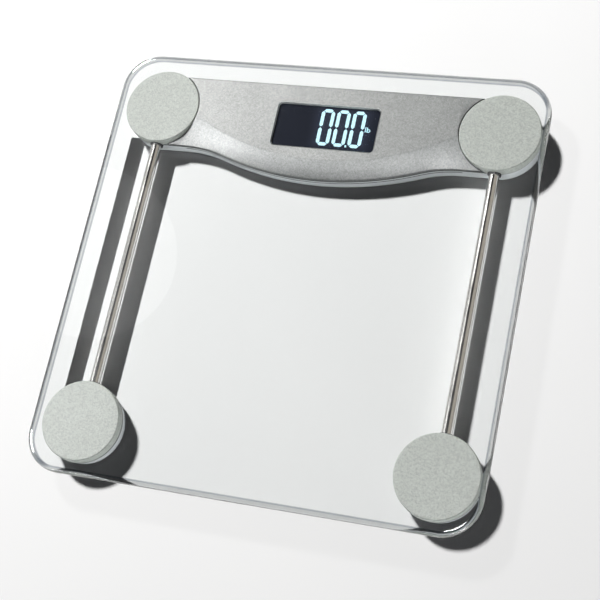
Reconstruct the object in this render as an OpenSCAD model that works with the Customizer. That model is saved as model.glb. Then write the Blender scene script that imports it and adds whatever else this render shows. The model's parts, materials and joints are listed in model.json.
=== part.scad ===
// Glass-topped electronic bathroom scale: a square glass platform on four round
// load-cell pucks, with a display housing across the back and two steel wire tubes.
// Frame: +X right, +Y towards the display, +Z up, origin on the floor under the centre.

/* [Platform] */
// Side of the square glass platform
plate_w = 300; // [290:1:320]
// Thickness of the glass
plate_t = 8; // [6:0.5:10]
// Corner radius of the glass in plan
plate_corner_r = 25; // [20:1:30]
// Radius of the polished glass edge
plate_edge_r = 3.2; // [1:0.1:3.4]
// Height of the glass top above the floor
plate_top_z = 26; // [26:0.5:27]

/* [Pucks] */
// Distance of each puck's centre from the centre line, sideways
puck_x = 118.5; // [117:0.5:120]
// Distance of each puck's centre from the centre line, front to back
puck_y = 113.7; // [112.5:0.1:114.5]
// Radius of the disc-shaped cap
cap_r = 26.7; // [26.5:0.1:27]
// Radius of the lower shell at the floor
base_foot_r = 25.4; // [25:0.1:25.8]
// Height of the seam between caps and lower shells
seam_z = 10.2; // [10:0.1:10.4]
// Height of the underside of the lower shells
base_z = 1.6; // [1.5:0.1:1.7]
// Wall thickness of caps and shells
wall = 1.8; // [1.6:0.1:2]
// Thickness of the clear bonding film between caps and glass
bond_t = 1; // [0.5:0.1:1.2]

/* [Feet] */
// Radius of the round foot
foot_r = 16.3; // [15.5:0.1:16.5]
// Radius of the rubber pad under the foot
pad_r = 13.5; // [11:0.1:14]
// Drop of a foot when the scale is lifted
foot_travel = 0.8; // [0.4:0.1:0.8]

/* [Load cells] */
// Side of the square load cell
cell_w = 32; // [31:0.5:32]
// Thickness of the load cell plate
cell_t = 2; // [1.5:0.1:2]

/* [Tubes] */
// Outside diameter of the steel tubes
tube_d = 7; // [6.5:0.1:7.2]
// Wall thickness of the steel tubes
tube_wall = 0.6; // [0.4:0.1:0.8]

/* [Display housing] */
// Y of the straight back edge
back_y = 137; // [136.5:0.1:137.5]
// Y of the front wall at the centre line
front_y = 71.2; // [70:0.1:72]
// Height of the front wall's top edge, where the slope begins
slope_z = 11.8; // [11.5:0.1:12]
// Y of the crease between flat top and slope, at the centre line
crease_y = 83.2; // [82.5:0.1:84]
// Radius of the crease line in plan
crease_r = 172; // [170:1:176]
// Width of the display window
window_w = 71; // [66:0.5:71]
// Depth of the display window, front to back
window_d = 30.8; // [28:0.1:31]
// Y of the window's centre
window_y = 107.6; // [107:0.1:108]
// Distance of the window's centre to the right of the centre line
window_x = 1.7; // [0:0.1:2]

/* [Battery bay] */
// Diameter of an AAA cell
aaa_d = 10.5; // [10.2:0.1:10.5]
// Length of an AAA cell with its nub
aaa_l = 44.5; // [43.3:0.1:44.5]

/* [Button] */
// Radius of the unit button
button_r = 3.8; // [3:0.1:4]
// Travel of the unit button
button_travel = 0.8; // [0.4:0.1:0.8]

/* [Hidden] */
$fn = 72;
gap = 0.15;

plate_z = plate_top_z - plate_t;
cap_z = plate_z - bond_t;
roof_z = cap_z - wall;
shell_top_z = seam_z - gap;
cap_low_z = seam_z + gap;
floor_z = base_z + 1.6;
bond_r = cap_r - 0.9;

// Rear pucks share the housing's lower shell, so its ends are round about them
base_r = cap_r - 0.3;
end_y = puck_y - base_r + 0.3;
end_x = 97;
mid_share = 0.715;
rise = end_y - front_y;
radius_sum = (end_x * end_x + rise * rise) / (2 * rise);
mid_r = radius_sum * mid_share;
end_r = radius_sum - mid_r;
turn_x = end_x * mid_share;
cover_end_x = 110;
cap_clear = 0.4;
groove_z = 7.4;
groove_w = 0.5;

// Screws
screw_r = 1.2;
screw_hole_r = 1.25;
screw_clear_r = 1.4;
head_r = 2.3;
head_h = 1.4;
head_pocket_r = 2.5;
head_z = floor_z + 0.2;
boss_r = 2.7;
cap_boss_r = 2.3;
boss_ring = 21.2;
screw_bite = 3.2;

// Load cell stack
cell_z = 8;
cell_top_z = cell_z + cell_t;
cell_rim = 4;
slot_w = 1.5;
foot_hole_r = foot_r + 0.5;
flange_r = foot_hole_r + 1.4;
flange_z = floor_z + foot_travel + 0.05;
flange_t = 1.1;
foot_z = 0.8;
pad_t = 1.6;

// Tubes and their grommets
tube_r = tube_d / 2;
tube_end = 19.5;
tube_len = 2 * (puck_y - tube_end);
grommet_r = tube_r + 1;
grommet_in = 22.6;
grommet_out = cap_r + 0.7;

// Battery bay: an upside-down tub that opens through the floor
bay_x0 = -88.1;
bay_x1 = -38.5;
bay_y0 = 108;
bay_y1 = 130.8;
bay_wall = 1.2;
bay_roof_z = 14;
cell_pitch = 11.2;
cell_axis_z = 8.6;
cell_mid_y = (bay_y0 + bay_y1) / 2;
door_t = 1.4;
door_gap = 0.3;
hinge_x = bay_x1 - 1.1;
hinge_z = base_z + door_t / 2;
hinge_pin_r = 0.5;
hinge_hole_r = 0.55;

// Display stack, from the window down to the circuit board
lens_z = cap_z - 2.4;
lens_t = 1.2;
lens_lip = 1.1;
window_corner_r = 2.4;
panel_z = 12;
panel_t = 2.4;
panel_w = 70.4;
light_z = 8.8;
light_t = 3;
frame_w = 72.6;
frame_top_z = 14.5;
board_z = 6.8;
board_t = 1.2;
board_x0 = -35.5;
board_x1 = 52;
board_y0 = 82.5;
board_y1 = 132.5;
board_screws = [[-30, 85.2], [-30, 129.8], [48.5, 85.2], [48.5, 129.8]];
housing_screws = [[-94.5, 132], [94.5, 132], [-88, 99], [88, 99], [-57.5, 88], [57.5, 88]];
button_x = 30;
button_y = 104;
button_top_z = floor_z + 0.9;

// Wire routes, each from a load cell to the circuit board, in round numbers
// and given as distance in from the puck's centre, Y and height
wire_r = 0.9;
wire_z = 5.2;
plug_y = [92, 97.4, 102.8];
plug_left_x = -34.5;
plug_right_x = 49.5;
front_wire = [[0, -98, 11.1], [0, -92, seam_z], [0, 95.4, seam_z], [6, 95.6, 8],
              [13, 94.5, 6.4], [22, 92, wire_z], [66, plug_y[0], wire_z]];
rear_wire = [[0, 98, 11.1], [8, 94.4, 11.1], [19, 95, 7], [24, 104, wire_z],
             [50, 104, wire_z], [60, plug_y[1], wire_z]];
lead_y = [101.8, 103.8];

PUCKS = [[-1, -1], [1, -1], [-1, 1], [1, 1]];

// ---- Plan curves of the display housing -------------------------------------------

// Y of the housing's front edge at a distance x from the centre line
function front_edge(x) =
    let (a = abs(x))
    a < turn_x ? front_y + mid_r - sqrt(mid_r * mid_r - a * a)
    : a < end_x ? end_y - end_r + sqrt(end_r * end_r - (end_x - a) * (end_x - a))
    : end_y;

// Y of the crease where the flat top turns down into the slope
function crease(x) = crease_y + crease_r - sqrt(crease_r * crease_r - x * x);

// Smooth fall of the slope, from 0 at the front edge to 1 at the crease
function fall(t) = t * (1.35 - 0.35 * t);

// One cross-section of the cover at x, drawn in by the given inset
function cover_section(x, inset, low, levels = 5) =
    let (y0 = front_edge(x) + inset,
         y1 = max(crease(x) + inset * 0.3, y0 + 1),
         z0 = slope_z - inset * 0.8,
         z1 = cap_z - inset)
    concat([[x, y0, low]],
           [for (i = [0 : levels])
               let (t = i / levels)
               [x, y0 + (y1 - y0) * t, z0 + (z1 - z0) * fall(t)]],
           [[x, back_y - inset, z1], [x, back_y - inset, low]]);

// Solid through a row of cross-sections that all have the same number of points
module loft(rings) {
    n = len(rings[0]);
    m = len(rings);
    polyhedron(
        points = [for (ring = rings) each ring],
        faces = concat(
            [[for (j = [0 : n - 1]) n - 1 - j]],
            [[for (j = [0 : n - 1]) (m - 1) * n + j]],
            [for (i = [0 : m - 2], j = [0 : n - 1], half = [0, 1])
                let (a = i * n + j, b = i * n + (j + 1) % n)
                half == 0 ? [a, b, a + n] : [b, b + n, a + n]]),
        convexity = 4);
}

module cover_solid(inset, low, reach) {
    steps = 44;
    loft([for (i = [0 : steps])
        cover_section(-reach + 2 * reach * i / steps, inset, low)]);
}

// Outline of the housing's lower shell in plan, drawn in by the given inset
module housing_outline(inset = 0) {
    steps = 40;
    for (side = [-1, 1])
        translate([side * puck_x, puck_y]) circle(r = base_r - inset);
    polygon(concat(
        [[-puck_x, end_y + inset]],
        [for (i = [-steps : steps])
            let (x = end_x * i / steps)
            [x, front_edge(x) + inset]],
        [[puck_x, end_y + inset], [puck_x, back_y - inset], [-puck_x, back_y - inset]]));
}

// ---- Small shared shapes -----------------------------------------------------------

module at_puck(side, end) {
    translate([side * puck_x, end * puck_y, 0]) children();
}

// Boss positions about a puck: two at the sides and one opposite the tube
module at_bosses(end) {
    for (angle = [0, 180, end * 90])
        rotate([0, 0, angle]) translate([boss_ring, 0, 0]) children();
}

module box(x0, y0, z0, x1, y1, z1) {
    translate([x0, y0, z0]) cube([x1 - x0, y1 - y0, z1 - z0]);
}

module rounded_square(w, d, r) {
    for (sx = [-1, 1], sy = [-1, 1])
        translate([sx * (w / 2 - r), sy * (d / 2 - r)]) circle(r = r);
    square([w - 2 * r, d], center = true);
    square([w, d - 2 * r], center = true);
}

module ring(outer, inner, height) {
    difference() {
        cylinder(r = outer, h = height);
        translate([0, 0, -1]) cylinder(r = inner, h = height + 2);
    }
}

// A cross-slotted pan-head screw, head down, its head's bearing face at z = 0
module screw(length) {
    difference() {
        translate([0, 0, -head_h]) cylinder(r = head_r, h = head_h);
        for (angle = [0, 90])
            rotate([0, 0, angle])
                translate([0, 0, -head_h])
                    cube([2.6, 0.6, 1.4], center = true);
    }
    cylinder(r = screw_r, h = length);
}

// Unit direction of a route at point i, halfway between its two segments at a bend
function heading(points, i) =
    let (before = points[max(i, 1)] - points[max(i - 1, 0)],
         last = len(points) - 1,
         after = points[min(i + 1, last)] - points[min(i, last - 1)],
         sum = before / norm(before) + after / norm(after))
    sum / norm(sum);

// A wire swept along a list of points
module wire(points, r = wire_r, sides = 8) {
    loft([for (i = [0 : len(points) - 1])
        let (ahead = heading(points, i),
             across = cross(ahead, [0, 0, 1]) / norm(cross(ahead, [0, 0, 1])),
             upward = cross(across, ahead))
        [for (k = [0 : sides - 1])
            let (a = 360 * k / sides)
            points[i] + r * (across * cos(a) + upward * sin(a))]]);
}

// ---- Platform ----------------------------------------------------------------------

module edge_profile(half) {
    square_part = half - plate_edge_r;
    square([square_part, plate_t]);
    translate([0, plate_edge_r]) square([half, plate_t - 2 * plate_edge_r]);
    for (z = [plate_edge_r, plate_t - plate_edge_r])
        translate([square_part, z]) circle(r = plate_edge_r);
}

module glass_platform() {
    flat = plate_w / 2 - plate_corner_r;
    color([0.80, 0.88, 0.88, 0.35])
    translate([0, 0, plate_z])
        for (quarter = [0 : 90 : 270])
            rotate([0, 0, quarter]) {
                translate([flat, flat, 0])
                    rotate_extrude(angle = 90) edge_profile(plate_corner_r);
                translate([flat, flat, 0])
                    rotate([90, 0, 0])
                        linear_extrude(2 * flat) edge_profile(plate_corner_r);
                cube([flat, flat, plate_t]);
            }
}

// Clear films that bond the four caps and the housing to the glass
module bond_films() {
    color([0.9, 0.94, 0.94, 0.3]) {
        for (p = PUCKS)
            at_puck(p.x, p.y)
                translate([0, 0, cap_z]) cylinder(r = bond_r, h = bond_t);
        for (side = [-1, 1])
            box(side * 64 - 14, 112, cap_z, side * 64 + 14, 132, plate_z);
    }
}

// ---- Pucks -------------------------------------------------------------------------

// A shallow disc-shaped shell, open below, with a softened top edge
module cap_shell() {
    soft = 0.7;
    rotate_extrude() {
        difference() {
            union() {
                translate([0, cap_low_z]) square([cap_r, cap_z - soft - cap_low_z]);
                translate([0, cap_low_z]) square([cap_r - soft, cap_z - cap_low_z]);
                translate([cap_r - soft, cap_z - soft]) circle(r = soft);
            }
            translate([-1, cap_low_z - 1])
                square([cap_r - wall + 1, roof_z - cap_low_z + 1]);
        }
    }
}

module cap(side, end) {
    color([0.76, 0.79, 0.77])
    at_puck(side, end)
        difference() {
            union() {
                cap_shell();
                at_bosses(end)
                    translate([0, 0, seam_z])
                        cylinder(r = cap_boss_r, h = roof_z - seam_z + 0.4);
                for (sx = [-1, 1])
                    translate([sx * (cell_w / 2 - cell_rim / 2), 0, cell_top_z])
                        translate([-1.25, -10, 0]) cube([2.5, 20, roof_z - cell_top_z + 0.4]);
            }
            at_bosses(end)
                translate([0, 0, seam_z - 1]) cylinder(r = screw_hole_r, h = 1 + screw_bite + 0.5);
            translate([0, 0, seam_z])
                rotate([end * 90, 0, 0])
                    translate([0, 0, tube_end + 2.6]) cylinder(r = grommet_r + 0.05, h = 10);
        }
}

// Cup-shaped lower shell of a front puck
module front_base(side) {
    slope = (base_r - base_foot_r) / (shell_top_z - base_z);
    color([0.74, 0.77, 0.76])
    at_puck(side, -1)
        difference() {
            union() {
                rotate_extrude()
                    difference() {
                        polygon([[0, base_z], [base_foot_r - 0.6, base_z],
                                 [base_foot_r + 0.6 * slope, base_z + 0.6],
                                 [base_r, shell_top_z], [0, shell_top_z]]);
                        translate([-1, floor_z])
                            square([base_foot_r - wall + 1, shell_top_z]);
                    }
                locating_lip();
                base_posts(-1);
            }
            base_cuts(-1);
        }
}

// Thin lip that stands up inside the cap's wall
module locating_lip() {
    lip_r = cap_r - wall - gap;
    translate([0, 0, shell_top_z - 2]) ring(lip_r, lip_r - 1.1, 3.2);
}

// Bosses for the cap's screws and the four posts under the load cell's rim
module base_posts(end) {
    post = cell_w / 2 - 1;
    at_bosses(end)
        translate([0, 0, floor_z - 0.4]) cylinder(r = boss_r, h = seam_z - floor_z + 0.4);
    for (sx = [-1, 1], sy = [-1, 1])
        translate([sx * post - 1.1, sy * post - 1.1, floor_z - 0.4])
            cube([2.2, 2.2, cell_z - floor_z + 0.4]);
}

// Foot hole, screw holes and the tube's entry, about one puck's centre
module base_cuts(end) {
    translate([0, 0, base_z - 1]) cylinder(r = foot_hole_r, h = floor_z - base_z + 2);
    at_bosses(end) {
        translate([0, 0, base_z - 1]) cylinder(r = screw_clear_r, h = seam_z + 4);
        translate([0, 0, base_z - 1]) cylinder(r = head_pocket_r, h = head_z - base_z + 1);
    }
    translate([0, 0, seam_z])
        rotate([end * 90, 0, 0])
            translate([0, 0, tube_end + 2.6]) cylinder(r = grommet_r + 0.05, h = 10);
}

// ---- Load cells --------------------------------------------------------------------

// Square steel plate whose middle tongue bends when the foot pushes it up
module load_cell(side, end) {
    inner = cell_w - 2 * cell_rim;
    color([0.62, 0.63, 0.65])
    at_puck(side, end)
        rotate([0, 0, end > 0 ? 180 : 0])
            translate([0, 0, cell_z])
                linear_extrude(cell_t)
                    difference() {
                        rounded_square(cell_w, cell_w, 2);
                        for (sx = [-1, 1])
                            translate([sx * (inner - slot_w) / 2, 0])
                                square([slot_w, inner], center = true);
                        translate([0, (inner - slot_w) / 2])
                            square([inner, slot_w], center = true);
                        for (sx = [-1, 1])
                            translate([sx * (inner / 2 - slot_w - 2.4), -3.5])
                                square([slot_w, inner - 9], center = true);
                        for (sx = [-1, 1], sy = [-1, 1])
                            translate([sx * 14, sy * 8]) circle(r = 0.8);
                    }
}

module strain_gauges() {
    color([0.85, 0.62, 0.30])
    for (p = PUCKS)
        at_puck(p.x, p.y)
            translate([0, p.y * 5, cell_top_z + 0.075])
                cube([7, 5, 0.15], center = true);
}

module gauge_sealant() {
    color([0.93, 0.93, 0.91])
    for (p = PUCKS)
        at_puck(p.x, p.y)
            translate([0, p.y * 5, cell_top_z + 0.15])
                linear_extrude(0.7) rounded_square(6.4, 4.6, 1.4);
}

// ---- Feet --------------------------------------------------------------------------

// Round foot: flange above the shell's floor, boss that pushes the load cell's tongue
module foot(side, end) {
    color([0.80, 0.81, 0.81])
    at_puck(side, end)
        difference() {
            union() {
                translate([0, 0, foot_z + 0.5])
                    cylinder(r = foot_r, h = flange_z + flange_t - foot_z - 0.5);
                translate([0, 0, foot_z]) cylinder(r1 = foot_r - 0.5, r2 = foot_r, h = 0.5);
                translate([0, 0, flange_z]) cylinder(r = flange_r, h = flange_t);
                translate([0, 0, flange_z]) cylinder(r = 4.4, h = cell_z - 0.05 - flange_z);
            }
            translate([0, 0, foot_z - 1]) cylinder(r = pad_r + 0.1, h = pad_t - foot_z + 1);
            for (angle = [45 : 90 : 315])
                rotate([0, 0, angle])
                    translate([10.5, 0, pad_t + 0.9]) cylinder(r = 2.6, h = 8);
        }
}

module rubber_pad(side, end) {
    groove = 0.4;
    color([0.55, 0.56, 0.57])
    at_puck(side, end)
        difference() {
            cylinder(r = pad_r, h = pad_t);
            for (r = [4, 7, 10])
                translate([0, 0, -1]) ring(r + 0.5, r, 1 + groove);
        }
}

// ---- Tubes -------------------------------------------------------------------------

module steel_tube(side) {
    color([0.75, 0.75, 0.74])
    translate([side * puck_x, tube_len / 2, seam_z])
        rotate([90, 0, 0]) ring(tube_r, tube_r - tube_wall, tube_len);
}

// Dark grommets where the tubes enter the pucks
module tube_grommets() {
    color([0.16, 0.16, 0.17])
    for (p = PUCKS)
        translate([p.x * puck_x, p.y * puck_y, seam_z])
            rotate([p.y * 90, 0, 0])
                translate([0, 0, grommet_in])
                    ring(grommet_r, tube_r + 0.02, grommet_out - grommet_in);
}

// ---- Display housing ---------------------------------------------------------------

module window_opening(w, d, r, z0, z1) {
    translate([window_x, window_y, z0])
        linear_extrude(z1 - z0) rounded_square(w, d, r);
}

module display_cover() {
    color([0.70, 0.73, 0.72])
    difference() {
        cover_solid(0, cap_low_z, cover_end_x);
        difference() {
            cover_solid(wall, cap_low_z - 1, cover_end_x - 2);
            for (side = [-1, 1])
                translate([side * puck_x, puck_y, 0])
                    cylinder(r = cap_r + cap_clear + 1.4, h = 40);
            for (p = housing_screws)
                translate([p.x, p.y, 0]) cylinder(r = boss_r, h = 40, $fn = 24);
        }
        for (side = [-1, 1])
            translate([side * puck_x, puck_y, 0]) cylinder(r = cap_r + cap_clear, h = 40);
        window_opening(window_w, window_d, window_corner_r, lens_z, cap_z + 1);
        window_opening(window_w + 2 * lens_lip + 0.2, window_d + 2 * lens_lip + 0.2,
                       window_corner_r + 1.1, lens_z - 4, lens_z + lens_t);
        for (p = housing_screws)
            translate([p.x, p.y, 0]) cylinder(r = screw_hole_r, h = seam_z + 2.4, $fn = 24);
    }
}

// Shadow groove that runs along the housing's front wall below the seam
module wall_groove() {
    translate([0, 0, groove_z])
        linear_extrude(groove_w)
            difference() {
                translate([-end_x, front_y - 2]) square([2 * end_x, end_y - front_y + 3]);
                housing_outline(groove_w);
            }
}

module display_base() {
    color([0.74, 0.77, 0.76])
    difference() {
        union() {
            difference() {
                translate([0, 0, base_z])
                    linear_extrude(shell_top_z - base_z) housing_outline();
                translate([0, 0, floor_z]) linear_extrude(20) housing_outline(wall);
                wall_groove();
            }
            box(bay_x0 - bay_wall, bay_y0 - bay_wall, floor_z - 0.4,
                bay_x1 + bay_wall, bay_y1 + bay_wall, bay_roof_z + 0.6);
            for (side = [-1, 1])
                translate([side * puck_x, puck_y, 0]) base_posts(1);
            for (p = housing_screws)
                translate([p.x, p.y, floor_z - 0.4])
                    cylinder(r = boss_r, h = seam_z - floor_z + 0.4);
            for (p = board_screws)
                translate([p.x, p.y, floor_z - 0.4]) cylinder(r = 2.2, h = board_z - floor_z + 0.4);
        }
        box(bay_x0, bay_y0, base_z - 1, bay_x1, bay_y1, bay_roof_z);
        box(bay_x0 - 3.4, cell_mid_y - 4.2, base_z - 1, bay_x0 + 1, cell_mid_y + 4.2, floor_z - 0.5);
        for (side = [-1, 1])
            translate([side * puck_x, puck_y, 0]) base_cuts(1);
        for (p = housing_screws) {
            translate([p.x, p.y, base_z - 1]) cylinder(r = screw_clear_r, h = 20);
            translate([p.x, p.y, base_z - 1]) cylinder(r = head_pocket_r, h = head_z - base_z + 1);
        }
        for (p = board_screws)
            translate([p.x, p.y, floor_z]) cylinder(r = 0.85, h = 10);
        translate([button_x, button_y, base_z - 1]) cylinder(r = button_r + 0.3, h = 4);
        translate([hinge_x, bay_y1 + 1.2, hinge_z])
            rotate([90, 0, 0]) cylinder(r = hinge_hole_r, h = bay_y1 - bay_y0 + 2.4);
    }
}

// ---- Display -----------------------------------------------------------------------

module display_window() {
    color([0.10, 0.11, 0.13, 0.9])
    window_opening(window_w + 2 * lens_lip, window_d + 2 * lens_lip,
                   window_corner_r + 1, lens_z, lens_z + lens_t);
}

module lcd_panel() {
    color([0.12, 0.13, 0.17])
    translate([window_x - panel_w / 2, 90.6, panel_z]) cube([panel_w, 33, panel_t]);
}

module backlight() {
    color([0.90, 0.93, 0.94])
    translate([window_x - panel_w / 2 + 0.4, 92.6, light_z])
        cube([panel_w - 0.8, 30.8, light_t]);
}

module lcd_frame() {
    frame_y0 = 88.8;
    frame_y1 = 125.4;
    color([0.12, 0.12, 0.12])
    translate([window_x, 0, 0])
        difference() {
            box(-frame_w / 2, frame_y0, board_z + board_t, frame_w / 2, frame_y1, frame_top_z);
            box(-panel_w / 2 - 0.2, 90.4, board_z, panel_w / 2 + 0.2, 123.8, frame_top_z + 1);
        }
}

// Rubber strip that joins the board's contacts to the panel's
module zebra_strip() {
    color([0.85, 0.55, 0.60])
    box(window_x - 29, 90.8, board_z + board_t, window_x + 29, 92.2, panel_z);
}

module circuit_board() {
    color([0.10, 0.42, 0.22])
    difference() {
        box(board_x0, board_y0, board_z, board_x1, board_y1, board_z + board_t);
        for (p = board_screws)
            translate([p.x, p.y, board_z - 1]) cylinder(r = 1.1, h = board_t + 2);
    }
}

// Chip under a drop of black epoxy, on the board's underside
module processor() {
    color([0.07, 0.07, 0.08])
    translate([-4, 108, board_z]) {
        translate([0, 0, -1]) cylinder(r1 = 5.2, r2 = 6, h = 1);
        translate([0, 0, -1.7]) cylinder(r1 = 3, r2 = 5.2, h = 0.7);
    }
}

module wire_connectors() {
    color([0.92, 0.92, 0.88])
    for (y = plug_y)
        translate([plug_left_x, y - 2.4, board_z - 2.6]) cube([6, 4.8, 2.6]);
    for (y = [plug_y[0], plug_y[1]])
        translate([plug_right_x - 6, y - 2.4, board_z - 2.6]) cube([6, 4.8, 2.6]);
}

module board_components() {
    color([0.55, 0.42, 0.28])
    for (p = [[10, 118], [14, 118], [18, 118], [10, 96], [14, 96], [-14, 96], [-18, 120]])
        translate([p.x, p.y, board_z - 0.45]) cube([2, 1.25, 0.9], center = true);
    color([0.72, 0.73, 0.75])
    translate([-20, 112, board_z - 1.4]) cylinder(r = 1.6, h = 1.4);
}

// ---- Unit button and its switch ----------------------------------------------------

module switch_body() {
    color([0.15, 0.15, 0.16])
    translate([button_x, button_y, 0])
        difference() {
            translate([-3, -3, board_z - 1.7]) cube([6, 6, 1.7]);
            translate([0, 0, board_z - 2]) cylinder(r = 1.75, h = 1.8);
        }
}

module switch_plunger() {
    color([0.90, 0.90, 0.88])
    translate([button_x, button_y, button_top_z])
        cylinder(r = 1.55, h = board_z - 0.3 - button_travel - button_top_z);
}

module unit_button() {
    rest_z = base_z + 0.3;
    color([0.35, 0.36, 0.37])
    translate([button_x, button_y, 0])
        difference() {
            union() {
                translate([0, 0, rest_z]) cylinder(r = button_r, h = button_top_z - rest_z);
                translate([0, 0, button_top_z - 0.88]) cylinder(r = button_r + 1.3, h = 0.88);
            }
            translate([0, 0, rest_z - 9.4]) sphere(r = 9.7);
        }
}

// ---- Battery bay -------------------------------------------------------------------

module battery_door() {
    door_x0 = bay_x0 + door_gap;
    door_y0 = bay_y0 + door_gap;
    door_y1 = bay_y1 - door_gap;
    color([0.72, 0.75, 0.74])
    difference() {
        union() {
            box(door_x0, door_y0, base_z, hinge_x, door_y1, base_z + door_t);
            box(bay_x0 - 2.8, cell_mid_y - 3.6, base_z, door_x0 + 1, cell_mid_y + 3.6, base_z + 0.9);
            translate([hinge_x, door_y1, hinge_z])
                rotate([90, 0, 0]) cylinder(r = door_t / 2, h = door_y1 - door_y0);
            translate([hinge_x, door_y1 + 1, hinge_z])
                rotate([90, 0, 0]) cylinder(r = hinge_pin_r, h = door_y1 - door_y0 + 2);
        }
        for (i = [0 : 4])
            translate([bay_x0 + 6 + i * 2, cell_mid_y, base_z])
                cube([0.8, 12, 0.8], center = true);
    }
}

// One AAA cell along X; dir is +1 with its nub to the right
module aaa_cell(row, dir) {
    body_l = aaa_l - 1;
    mid_x = (bay_x0 + bay_x1) / 2 + dir * 1.6;
    color([0.16, 0.38, 0.62])
    translate([mid_x, cell_mid_y + row * cell_pitch / 2, cell_axis_z])
        rotate([0, dir * 90, 0]) {
            translate([0, 0, -aaa_l / 2]) cylinder(r = aaa_d / 2, h = body_l);
            translate([0, 0, aaa_l / 2 - 1.2]) cylinder(r = 1.9, h = 1.2);
        }
}

// Coil spring as a sweep of a small hexagon along a cone-shaped helix
function spring_point(a, turns, length) =
    let (s = a / (360 * turns), r = 3.6 - 1.4 * s)
    [s * length, r * cos(a), r * sin(a)];

module coil_spring(turns = 3, length = 2.6, wire = 0.3) {
    step = 36;
    loft([for (a = [0 : step : 360 * turns])
        let (c = spring_point(a, turns, length))
        [for (k = [0 : 5])
            let (out = wire * cos(k * 60))
            c + [wire * sin(k * 60), out * cos(a), out * sin(a)]]]);
}

module battery_springs() {
    color([0.80, 0.80, 0.78]) {
        translate([bay_x0 + 0.9, cell_mid_y - cell_pitch / 2, cell_axis_z])
            coil_spring();
        translate([bay_x1 - 0.9, cell_mid_y + cell_pitch / 2, cell_axis_z])
            mirror([1, 0, 0]) coil_spring();
    }
}

module battery_plates() {
    plate = 0.4;
    color([0.80, 0.80, 0.78]) {
        for (row = [-1, 1])
            box(bay_x0 + 0.05, cell_mid_y + row * cell_pitch / 2 - 4, cell_axis_z - 4,
                bay_x0 + 0.05 + plate, cell_mid_y + row * cell_pitch / 2 + 4, cell_axis_z + 4);
        box(bay_x1 - 0.05 - plate, cell_mid_y - cell_pitch / 2 - 4, cell_axis_z - 4,
            bay_x1 - 0.05, cell_mid_y + cell_pitch / 2 + 4, cell_axis_z + 4);
    }
}

// The two leads from the bay's outer wall to the board
module battery_leads() {
    for (i = [0, 1])
        color(i == 0 ? [0.75, 0.08, 0.08] : [0.05, 0.05, 0.05])
        wire([[-44 + i * 3, bay_y0 - bay_wall - 0.8, 9.4], [-44 + i * 3, lead_y[i], 7.6],
              [-39, lead_y[i], wire_z], [plug_left_x, lead_y[i], wire_z]], 0.7);
}

// ---- Wires and screws --------------------------------------------------------------

module cell_wire(route, side) {
    last = route[len(route) - 1];
    color([0.86, 0.86, 0.84])
    wire(concat([for (p = route) [side * (puck_x - p.x), p.y, p.z]],
                [[side < 0 ? plug_left_x : plug_right_x, last.y, last.z]]));
}

module group_housing_screws() {
    color([0.70, 0.70, 0.68])
    for (p = housing_screws)
        translate([p.x, p.y, head_z]) screw(seam_z + 2.2 - head_z);
}

module group_puck_screws() {
    color([0.70, 0.70, 0.68])
    for (p = PUCKS)
        at_puck(p.x, p.y)
            at_bosses(p.y)
                translate([0, 0, head_z]) screw(seam_z + screw_bite - head_z);
}

module group_board_screws() {
    color([0.70, 0.70, 0.68])
    for (p = board_screws)
        translate([p.x, p.y, board_z + board_t]) {
            cylinder(r = 1.9, h = 1.1);
            translate([0, 0, -4]) cylinder(r = 0.8, h = 4);
        }
}

glass_platform();
bond_films();
cap(-1, -1);  // cap_front_left
cap(1, -1);  // cap_front_right
cap(-1, 1);  // cap_rear_left
cap(1, 1);  // cap_rear_right
front_base(-1);  // base_front_left
front_base(1);  // base_front_right
display_cover();
display_base();
load_cell(-1, -1);  // load_cell_front_left
load_cell(1, -1);  // load_cell_front_right
load_cell(-1, 1);  // load_cell_rear_left
load_cell(1, 1);  // load_cell_rear_right
strain_gauges();
gauge_sealant();
foot(-1, -1);  // foot_front_left
foot(1, -1);  // foot_front_right
foot(-1, 1);  // foot_rear_left
foot(1, 1);  // foot_rear_right
rubber_pad(-1, -1);  // pad_front_left
rubber_pad(1, -1);  // pad_front_right
rubber_pad(-1, 1);  // pad_rear_left
rubber_pad(1, 1);  // pad_rear_right
steel_tube(-1);  // tube_left
steel_tube(1);  // tube_right
tube_grommets();
display_window();
lcd_panel();
backlight();
lcd_frame();
zebra_strip();
circuit_board();
processor();
wire_connectors();
board_components();
switch_body();
switch_plunger();
unit_button();
battery_door();
aaa_cell(-1, 1);  // battery_inner
aaa_cell(1, -1);  // battery_outer
battery_springs();
battery_plates();
battery_leads();
cell_wire(front_wire, -1);  // wire_front_left
cell_wire(front_wire, 1);  // wire_front_right
cell_wire(rear_wire, -1);  // wire_rear_left
cell_wire(rear_wire, 1);  // wire_rear_right
group_housing_screws();  // housing_screws
group_puck_screws();  // puck_screws
group_board_screws();  // board_screws
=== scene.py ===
"""Looks of the glass bathroom scale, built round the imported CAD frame."""
import json
import math

import bmesh
import bpy
from mathutils import Matrix, Vector

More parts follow.
